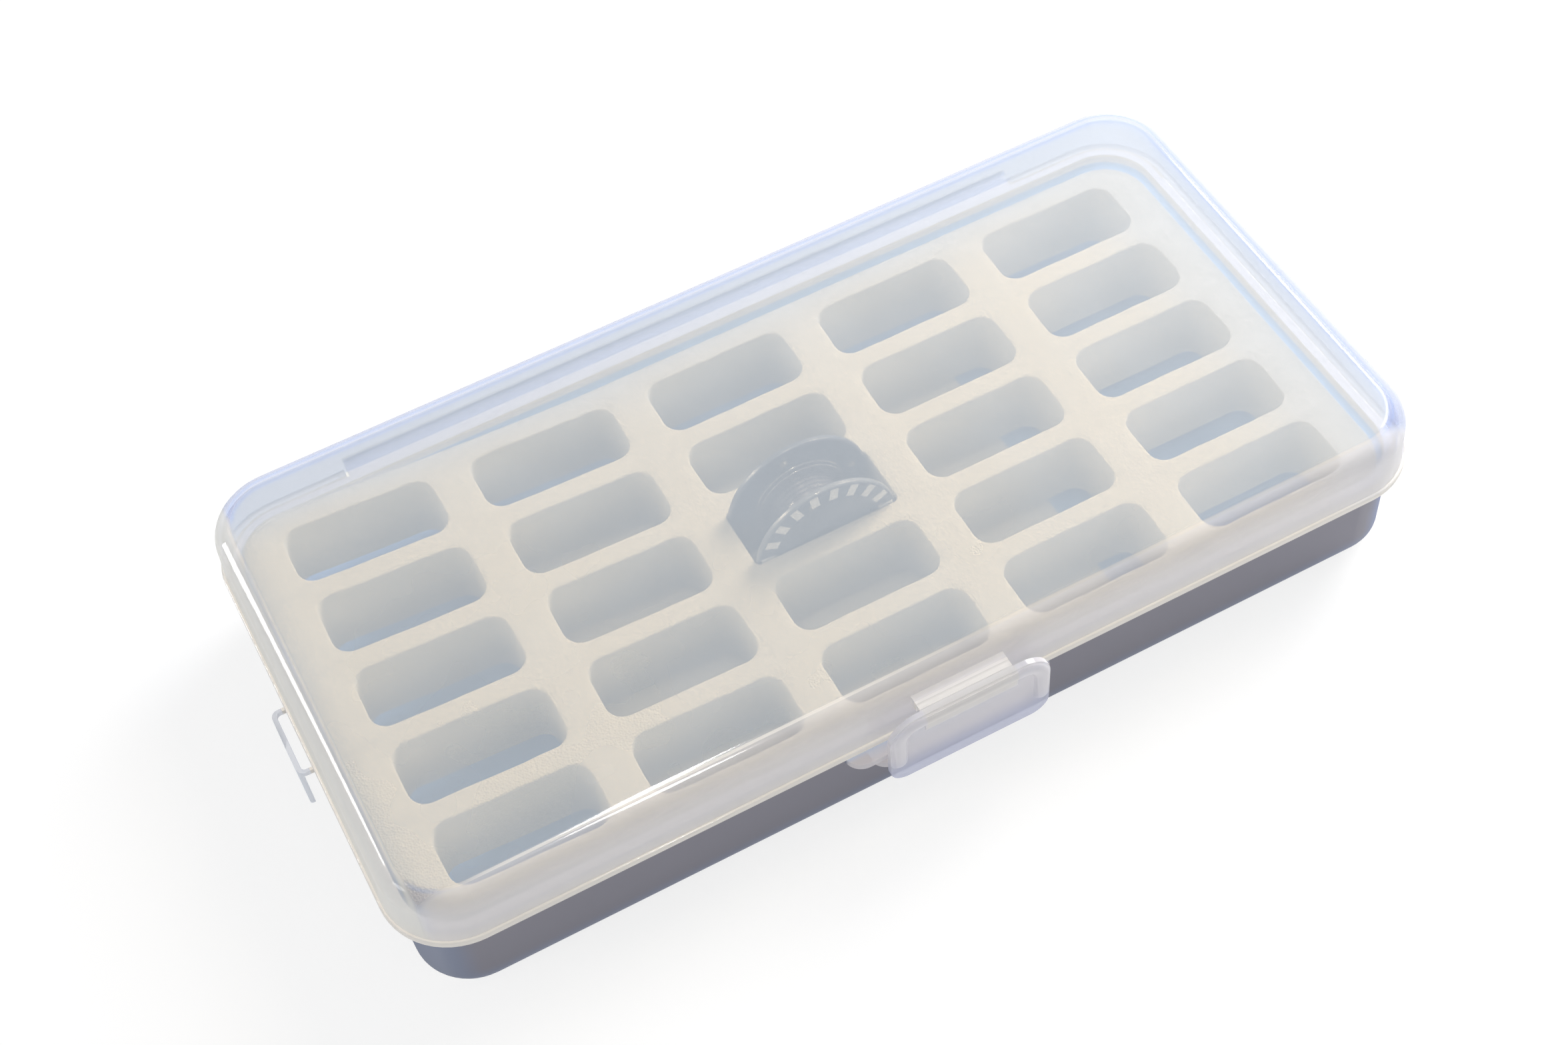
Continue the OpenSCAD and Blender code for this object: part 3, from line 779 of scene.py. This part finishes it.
class BOBBINBOX_OT_foam(bpy.types.Operator):
    """Make the slotted foam insert with its cut edges and its lifted end"""

    bl_idname = "bobbinbox.foam"
    bl_label = "Foam insert"

    def execute(self, context):
        looks = context.scene.bobbin_box_foam
        low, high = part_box("foam_insert")
        low.z += looks.foot
        mesh = bmesh.new()
        self.slots(mesh, looks, low, high)
        self.outer_wall(mesh, looks, low, high)
        self.soften(mesh, looks, low, high)
        made = piece("cut_foam", mesh, self.finish(looks), "tray")
        smooth(made, 50)
        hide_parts("foam_insert")
        return {"FINISHED"}

    def slots(self, mesh, looks, low, high):
        """The top, the slots' walls and the underside, a cell for each slot."""
        middle = (SLOTS - 1) / 2
        between = [i + 0.5 - middle for i in range(SLOTS - 1)]
        borders_x = [low.x] + [k * looks.pitch_x for k in between] + [high.x]
        borders_y = [low.y] + [k * looks.pitch_y for k in between] + [high.y]
        for i in range(SLOTS):
            for j in range(SLOTS):
                centre = ((i - middle) * looks.pitch_x, (j - middle) * looks.pitch_y)
                r = looks.held_slot_r if i == j == middle else looks.slot_r
                spans = (borders_x[i], borders_x[i + 1], borders_y[j], borders_y[j + 1])
                self.cell(mesh, looks, low, high, spans, centre, r)
        bmesh.ops.remove_doubles(mesh, verts=mesh.verts, dist=0.001 * MM)

    def cell(self, mesh, looks, low, high, spans, centre, r):
        """One slot and the foam round it, open towards its neighbours and the outside."""
        cut = looks.cut_r
        x0, x1, y0, y1 = spans
        cx, cy = centre
        hx, hy = looks.slot_x / 2, looks.slot_y / 2
        ends_x, ends_y = (low.x, high.x), (low.y, high.y)

        def slot(grow):
            """The slot's outline, grown all round."""
            across, deep, radii = hx + grow, hy + grow, [r + grow] * 4
            return rounded_loop(cx - across, cx + across, cy - deep, cy + deep, radii)

        def ring(points, z):
            """New vertices along a loop at a height."""
            return [mesh.verts.new((x, y, z)) for x, y in points]

        radii = [
            looks.corner_r - cut if x in ends_x and y in ends_y else 0.0
            for x, y in ((x0, y0), (x1, y0), (x1, y1), (x0, y1))
        ]
        inset = [cut if v in ends_x else 0.0 for v in (x0, x1)]
        inset += [cut if v in ends_y else 0.0 for v in (y0, y1)]
        cell = rounded_loop(x0 + inset[0], x1 - inset[1], y0 + inset[2], y1 - inset[3], radii)
        lip = slot(cut)
        half = [((a + c) / 2, (b + d) / 2) for (a, b), (c, d) in zip(lip, cell)]
        rings = [ring(cell, high.z), ring(half, high.z), ring(lip, high.z)]
        for degrees in CUT_TURNS:
            t = math.radians(degrees)
            rings.append(ring(slot(cut * (1 - math.sin(t))), high.z - cut * (1 - math.cos(t))))
        wall_top = high.z - cut
        for k in range(1, WALL_STEPS + 1):
            rings.append(ring(slot(0.0), wall_top + (low.z - wall_top) * k / WALL_STEPS))
        rings += [ring(half, low.z), ring(cell, low.z)]
        for a, b in zip(rings, rings[1:]):
            bridge(mesh, a, b)

    def outer_wall(self, mesh, looks, low, high):
        """The outside, from the open edges of the top and the underside to where they meet."""
        cut = looks.cut_r
        near = 0.001 * MM
        top = [e for e in mesh.edges if e.is_boundary and e.verts[0].co.z > high.z - near]
        bottom = [e for e in mesh.edges if e.is_boundary and e.verts[0].co.z < low.z + near]
        core = Vector((high.x - looks.corner_r, high.y - looks.corner_r))

        def push(edges, rise):
            """A new loop of edges on the outer wall, raised from the last one."""
            made = bmesh.ops.extrude_edge_only(mesh, edges=edges)["geom"]
            for v in (g for g in made if isinstance(g, bmesh.types.BMVert)):
                nearest = [max(-limit, min(limit, value)) for limit, value in zip(core, v.co)]
                away = Vector((v.co.x, v.co.y)) - Vector(nearest)
                reach = looks.corner_r - away.length
                if away.length > 0:
                    v.co.x += away.x / away.length * reach
                    v.co.y += away.y / away.length * reach
                v.co.z += rise
            return [g for g in made if isinstance(g, bmesh.types.BMEdge)]

        loop = push(top, -cut)
        for _ in range(OUTER_STEPS):
            loop = push(loop, -(high.z - low.z - 2 * cut) / OUTER_STEPS)
        push(bottom, cut)
        bmesh.ops.remove_doubles(mesh, verts=mesh.verts, dist=0.01 * MM)

    def soften(self, mesh, looks, low, high):
        """Make the cuts uneven, but for the bobbin's own slot, and lift the left end."""
        held_x = looks.slot_x / 2 + HELD_MARGIN[0]
        held_y = looks.slot_y / 2 + HELD_MARGIN[1]
        lifted = -looks.lift_start - low.x
        noise.seed_set(WAVES_SEED)
        for v in mesh.verts:
            wave = noise.noise_vector(v.co * WAVES)
            held = abs(v.co.x) < held_x and abs(v.co.y) < held_y
            on_wall = v.co.x in (low.x, high.x) or v.co.y in (low.y, high.y)
            if not held and not on_wall:
                v.co.x += wave.x * UNEVEN
                v.co.y += wave.y * UNEVEN
            if v.co.z > UPPER:
                v.co.z += wave.z * UNEVEN_TOP
            out = max(0.0, (-looks.lift_start - v.co.x) / lifted)
            back = (v.co.y - low.y) / (high.y - low.y)
            rise = LIFT_FRONT + (1 - LIFT_FRONT) * min(1.0, LIFT_SLOPE * back)
            v.co.z += looks.lift * out ** LIFT_BEND * rise

    def finish(self, looks):
        """Fine closed-cell foam: pale skin on top, greyer cut walls with painted shade towards the
        floor and painted light towards the right end, small pits.
        """
        made, nt = material("closed-cell foam")
        x, _, z = nt.xyz()
        up = nt.xyz("Normal")[2]
        mottled = nt.ramp(nt.grain(MOTTLES, 4.0), 0.3, 0.7, 0.0, 0.35)
        skin = nt.blend(mottled, looks.colour, tuple(0.93 * c for c in looks.colour))
        # Painted shade towards the floor of each slot and painted light towards the right end.
        right = nt.ramp(x, *LIT_RIGHT_PART)
        deep = nt.blend(right, looks.deep_shade_colour, looks.deep_shade_right_colour)
        shallow = nt.blend(right, looks.wall_colour, looks.lit_wall_right_colour)
        wall = nt.blend(nt.ramp(z, *DEEP_SHADE_WALL), deep, shallow)
        flat = nt.ramp(nt.math("ABSOLUTE", up), *SKIN_FLAT)
        cells = nt.add("ShaderNodeTexVoronoi", Vector=nt.place(), Scale=CELLS).outputs["Distance"]
        pits = nt.math("MULTIPLY_ADD", nt.grain(PITS, 4.0, 0.65), 0.8, cells)
        nt.solid(
            Base_Color=nt.blend(flat, wall, skin), Roughness=0.86, Specular_IOR_Level=0.0,
            Normal=nt.bump(pits, PIT_DEPTH, 0.75),
        )
        return made


# Label ------------------------------


class BOBBINBOX_OT_label(bpy.types.Operator):
    """Give the blank label under the floor its paper"""

    bl_idname = "bobbinbox.label"
    bl_label = "Blank label"

    def execute(self, context):
        looks = context.scene.bobbin_box_label
        made, nt = material("plain paper")
        fibre = nt.grain(1500.0, 5.0, 0.7)
        nt.solid(
            Base_Color=nt.blend(fibre, looks.fibre_colour, looks.colour), Roughness=0.75,
            Normal=nt.bump(fibre, 0.02 * MM),
        )
        dress("underside_label", made)
        return {"FINISHED"}


# Bobbin ------------------------------

# Rings that round the edges of the hub's steps: radius, place off the middle and half thickness
HUB_RINGS = {
    "bobbin_step_edges": (7.85 * MM, 3.62 * MM, 0.25 * MM),
    "bobbin_fillets": (8.1 * MM, 4.35 * MM, 0.3 * MM),
}
RING_STEPS, RING_SIDES = 72, 10
HUB_HALF_WIDTH = span(0.0, 4.35, 4.45)  # where the hub ends at the flanges
HUB_RADIUS = span(0.0, 8.2, 8.6)
TURNED_PITCH = 0.55 * MM  # from ring to ring on the flanges
TURNED_DEPTH = 0.08  # depth of those rings beside the ridges
RIDGE_PITCH = 0.9 * MM  # from ridge to ridge along the hub
RIDGE_END = span(0.0, 4.0, 3.6)  # where the ridges end, in from the rim
RIM_HIGHLIGHT_BAND = span(0.0, 0.35, 0.1)  # a painted highlight along the edge, in from the rim
HOLES, HOLE_FIRST = 4, 12  # thread holes, and the first one's place in degrees
HOLE_PLACE = 10.3 * MM  # from the axis to a hole's middle
HOLE_RADIUS = span(0.0, 0.71, 0.76)
MARK_FIRST = 9  # place of the first edge mark, in degrees
MARK_RISE = 0.03 * MM


class BOBBINBOX_OT_bobbin(bpy.types.Operator):
    """Finish the bobbin and lay the marks round its flanges"""

    bl_idname = "bobbinbox.bobbin"
    bl_label = "Bobbin"

    def execute(self, context):
        looks = context.scene.bobbin_box_bobbin
        low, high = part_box("bobbin")
        centre = (low + high) / 2
        dress("bobbin", self.plastic(looks, centre, (high.z - low.z) / 2))
        self.hub_rings(centre, self.polished(looks))
        self.marks(looks, centre, (low.y, high.y))
        return {"FINISHED"}

    def hub_rings(self, centre, finish):
        """A pair of rings for each edge on the hub."""
        for name, (radius, out, tube) in HUB_RINGS.items():
            mesh = bmesh.new()
            self.ring(mesh, centre + Vector((0, -out, 0)), radius, tube)
            self.ring(mesh, centre + Vector((0, out, 0)), radius, tube)
            rings = piece(name, mesh, finish, "bobbin")
            smooth(rings, 180)

    def ring(self, mesh, centre, radius, tube):
        """Add a thin ring about the bobbin's axis."""
        loops = []
        for i in range(RING_STEPS):
            turn = 2 * math.pi * i / RING_STEPS
            along = Vector((math.cos(turn), 0, math.sin(turn)))
            loop = []
            for j in range(RING_SIDES):
                roll = 2 * math.pi * j / RING_SIDES
                offset = along * (radius + tube * math.cos(roll))
                offset.y += tube * math.sin(roll)
                loop.append(mesh.verts.new(centre + offset))
            loops.append(loop)
        for a, b in zip(loops, loops[1:] + loops[:1]):
            bridge(mesh, a, b)

    def marks(self, looks, centre, faces):
        """Raised marks round the outer face of each flange."""
        made, nt = material("edge marks")
        paint = nt.blend(nt.grain(900.0), looks.mark_colour, looks.worn_colour)
        nt.solid(Base_Color=paint, Roughness=0.4)
        mesh = bmesh.new()
        half = looks.mark_width / 2
        inner, outer = looks.mark_in, looks.mark_out
        for face, out in zip(faces, (-1, 1)):
            for k in range(looks.marks):
                turn = math.radians(MARK_FIRST + 360 * k / looks.marks)
                along = Vector((math.cos(turn), 0, math.sin(turn)))
                side = Vector((-math.sin(turn), 0, math.cos(turn)))
                corners = [
                    centre + along * r + side * s * half
                    for r, s in ((inner, -1), (outer, -1), (outer, 1), (inner, 1))
                ]
                foot = [mesh.verts.new((p.x, face, p.z)) for p in corners]
                raised = [mesh.verts.new((p.x, face + out * MARK_RISE, p.z)) for p in corners]
                mesh.faces.new(raised)
                bridge(mesh, foot, raised)
        marks = piece("bobbin_marks", mesh, made, "bobbin")

    def plastic(self, looks, centre, rim):
        """Smooth dark plastic with fine turned rings, a painted highlight along the flanges' rims
        and four thread holes in each flange painted pale for the light that shows through them.
        """
        made, nt = material("dark bobbin")
        x, y, z = nt.xyz()
        dx = nt.math("SUBTRACT", x, centre.x)
        dy = nt.math("SUBTRACT", y, centre.y)
        dz = nt.math("SUBTRACT", z, centre.z)
        r = nt.distance(dx, dz)

        body = nt.blend(nt.grain(220.0), looks.colour, tuple(1.35 * c for c in looks.colour))
        between = nt.fall(nt.math("ABSOLUTE", dy), *HUB_HALF_WIDTH)
        body = nt.blend(nt.product(between, nt.fall(r, *HUB_RADIUS)), body, looks.hub_colour)
        # Painted light: pale discs where light shows through the thread holes.
        for k in range(HOLES):
            turn = math.radians(HOLE_FIRST + 360 * k / HOLES)
            hx = nt.math("SUBTRACT", dx, HOLE_PLACE * math.cos(turn))
            hz = nt.math("SUBTRACT", dz, HOLE_PLACE * math.sin(turn))
            body = nt.blend(nt.fall(nt.distance(hx, hz), *HOLE_RADIUS), body, looks.hole_light_colour)
        # Painted highlight: a paler band along the rims, strongest on the front flange.
        near = nt.ramp(dy, -MM, MM, 1.0, 0.25)
        edge = nt.ramp(r, *(rim - inward for inward in RIM_HIGHLIGHT_BAND))
        body = nt.blend(nt.product(near, edge), body, looks.edge_highlight_colour)

        turned = nt.math("SINE", nt.product(r, 2 * math.pi / TURNED_PITCH))
        ridges = nt.math("SINE", nt.product(y, 2 * math.pi / RIDGE_PITCH))
        inner = nt.fall(r, *(rim - inward for inward in RIDGE_END))
        height = nt.math("ADD", nt.product(turned, TURNED_DEPTH), nt.product(ridges, inner))
        nt.solid(
            Base_Color=body, Roughness=0.35, IOR=1.5, Coat_Weight=0.6, Coat_Roughness=0.1,
            Normal=nt.bump(height, 0.1 * MM, 0.6),
        )
        return made

    def polished(self, looks):
        """The glossier plastic of the rounded edges on the hub's steps."""
        made, nt = material("polished edge")
        nt.solid(
            Base_Color=looks.hub_colour, Roughness=0.2, IOR=1.5, Coat_Weight=1.0,
            Coat_Roughness=0.12, Coat_IOR=2.2,
        )
        return made


# Stage ------------------------------

CAMERA_PLACE = (-0.0943, -0.21941, 0.33137)
CAMERA_TURN = (
    (0.883030, 0.411344, -0.225952),
    (-0.463651, 0.690027, -0.555780),
    (-0.072704, 0.595533, 0.800034),
)
SENSOR_WIDTH = 36.0
# Each lamp looks at the middle of the tray's underside. A disk has one size, a strip has two.
KEY_PLACE, KEY_SIZE = (0.45, 0.20, 0.36), 0.3
FILL_PLACE, FILL_SIZE = (-0.9, 0.1, 0.7), 0.25
# Glints along the rounded edges, which give no light of their own: place, size and power
GLINTS = {
    "left glint": ((-1.0, 0.85, 0.6), (0.12, 0.9), 13.0),
    "front glint": ((0.08, 0.25, 0.96), (0.06, 0.16), 3.3),
    "second front glint": ((0.08, -0.20, 0.97), (0.06, 0.16), 2.8),
}
FLOOR_HALF = 3.0  # half the floor's width
FLOOR_DROP = 0.05 * MM  # how far it lies under the box
FLOOR_GLOW = 1.15  # brightness of the white that it fades to
FLOOR_FADE = (0.35, 0.9)  # from where to where it fades to that white, in metres
FLOOR_WHITE = (0.66, 1.0)  # share of the white before and after that


class BOBBINBOX_OT_stage(bpy.types.Operator):
    """Make the floor, the soft light and the camera"""

    bl_idname = "bobbinbox.stage"
    bl_label = "Stage"

    def execute(self, context):
        looks = context.scene.bobbin_box_stage
        scene = context.scene
        scene.view_settings.view_transform = "Standard"
        self.floor(looks)
        self.world(scene, looks)
        self.lamp("key light", KEY_PLACE, KEY_SIZE, looks.key_power, looks)
        self.lamp("left fill", FILL_PLACE, FILL_SIZE, looks.key_power * looks.fill_share, looks)
        for name, (place, size, power) in GLINTS.items():
            self.lamp(name, place, size, power, looks).visible_diffuse = False
        self.camera(scene, looks)
        return {"FINISHED"}

    def camera(self, scene, looks):
        """The camera, from its named place."""
        data = bpy.data.cameras.new("camera")
        data.sensor_width = SENSOR_WIDTH
        data.lens = looks.lens
        data.clip_start = 0.01
        camera = bpy.data.objects.new("camera", data)
        scene.collection.objects.link(camera)
        camera.matrix_world = Matrix.Translation(CAMERA_PLACE) @ Matrix(CAMERA_TURN).to_4x4()
        scene.camera = camera

    def seen(self, nt):
        """1 for rays that the floor or sky is looked at by, straight, mirrored or through glass."""
        path = nt.add("ShaderNodeLightPath").outputs
        return nt.largest(path["Is Camera Ray"], path["Is Glossy Ray"], path["Is Transmission Ray"])

    def floor(self, looks):
        """A pale floor that keeps the box's shadow and fades to white."""
        made, nt = material("pale floor")
        matte = nt.add("ShaderNodeBsdfDiffuse", Color=looks.floor_colour)
        white = nt.add("ShaderNodeEmission", Strength=FLOOR_GLOW)
        x, y, _ = nt.xyz()
        fade = nt.ramp(nt.distance(x, y), *FLOOR_FADE, *FLOOR_WHITE)
        bleach = nt.product(self.seen(nt), fade)
        mixed = nt.add("ShaderNodeMixShader", bleach, matte.outputs[0], white.outputs[0])
        nt.finish(mixed.outputs[0])
        mesh = bmesh.new()
        bmesh.ops.create_grid(mesh, x_segments=2, y_segments=2, size=FLOOR_HALF)
        ground = piece("floor", mesh, made)
        ground.location.z = -FLOOR_DROP

    def world(self, scene, looks):
        """Even light from all round, with white where the sky itself is seen."""
        sky = bpy.data.worlds.new("studio")
        sky.use_nodes = True
        scene.world = sky
        nt = Nodes(sky.node_tree)
        light = nt.add("ShaderNodeBackground", Color=looks.ambient_colour, Strength=looks.ambient)
        white = nt.add("ShaderNodeBackground", Color=(1.0, 1.0, 1.0), Strength=1.0)
        mixed = nt.add("ShaderNodeMixShader", self.seen(nt), light.outputs[0], white.outputs[0])
        nt.finish(mixed.outputs[0], "ShaderNodeOutputWorld")

    def lamp(self, name, place, size, power, looks):
        """An area lamp that looks at the middle of the box's underside."""
        data = bpy.data.lights.new(name, "AREA")
        if isinstance(size, tuple):
            data.shape = "RECTANGLE"
            data.size, data.size_y = size
        else:
            data.shape = "DISK"
            data.size = size
        data.energy = power
        data.color = looks.lamp_colour
        lamp = bpy.data.objects.new(name, data)
        bpy.context.scene.collection.objects.link(lamp)
        lamp.location = place
        lamp.rotation_euler = (-Vector(place)).to_track_quat("-Z", "Y").to_euler()
        return lamp


# Panel and registration ------------------------------

OPERATORS = (
    BOBBINBOX_OT_plastic, BOBBINBOX_OT_hinges, BOBBINBOX_OT_foam, BOBBINBOX_OT_label,
    BOBBINBOX_OT_bobbin, BOBBINBOX_OT_stage,
)


class BOBBINBOX_PT_panel(bpy.types.Panel):
    """Sizes, colours and pieces of the bobbin box"""

    bl_idname = "BOBBINBOX_PT_panel"
    bl_label = "Bobbin Box"
    bl_space_type = "VIEW_3D"
    bl_region_type = "UI"
    bl_category = "Bobbin Box"

    def draw(self, context):
        for name in GROUPS:
            group = getattr(context.scene, name)
            box = self.layout.box()
            for field in group.bl_rna.properties.keys():
                if field not in {"rna_type", "name"}:
                    box.prop(group, field)
        for operator in OPERATORS:
            self.layout.operator(operator.bl_idname)


CLASSES = (*GROUPS.values(), *OPERATORS, BOBBINBOX_PT_panel)


def register():
    for cls in CLASSES:
        bpy.utils.register_class(cls)
    for name, cls in GROUPS.items():
        setattr(bpy.types.Scene, name, bpy.props.PointerProperty(type=cls))


def unregister():
    for name in GROUPS:
        delattr(bpy.types.Scene, name)
    for cls in reversed(CLASSES):
        bpy.utils.unregister_class(cls)


def main():
    register()
    bpy.ops.bobbinbox.plastic()
    bpy.ops.bobbinbox.hinges()
    bpy.ops.bobbinbox.foam()
    bpy.ops.bobbinbox.label()
    bpy.ops.bobbinbox.bobbin()
    bpy.ops.bobbinbox.stage()


if __name__ == "__main__":
    main()
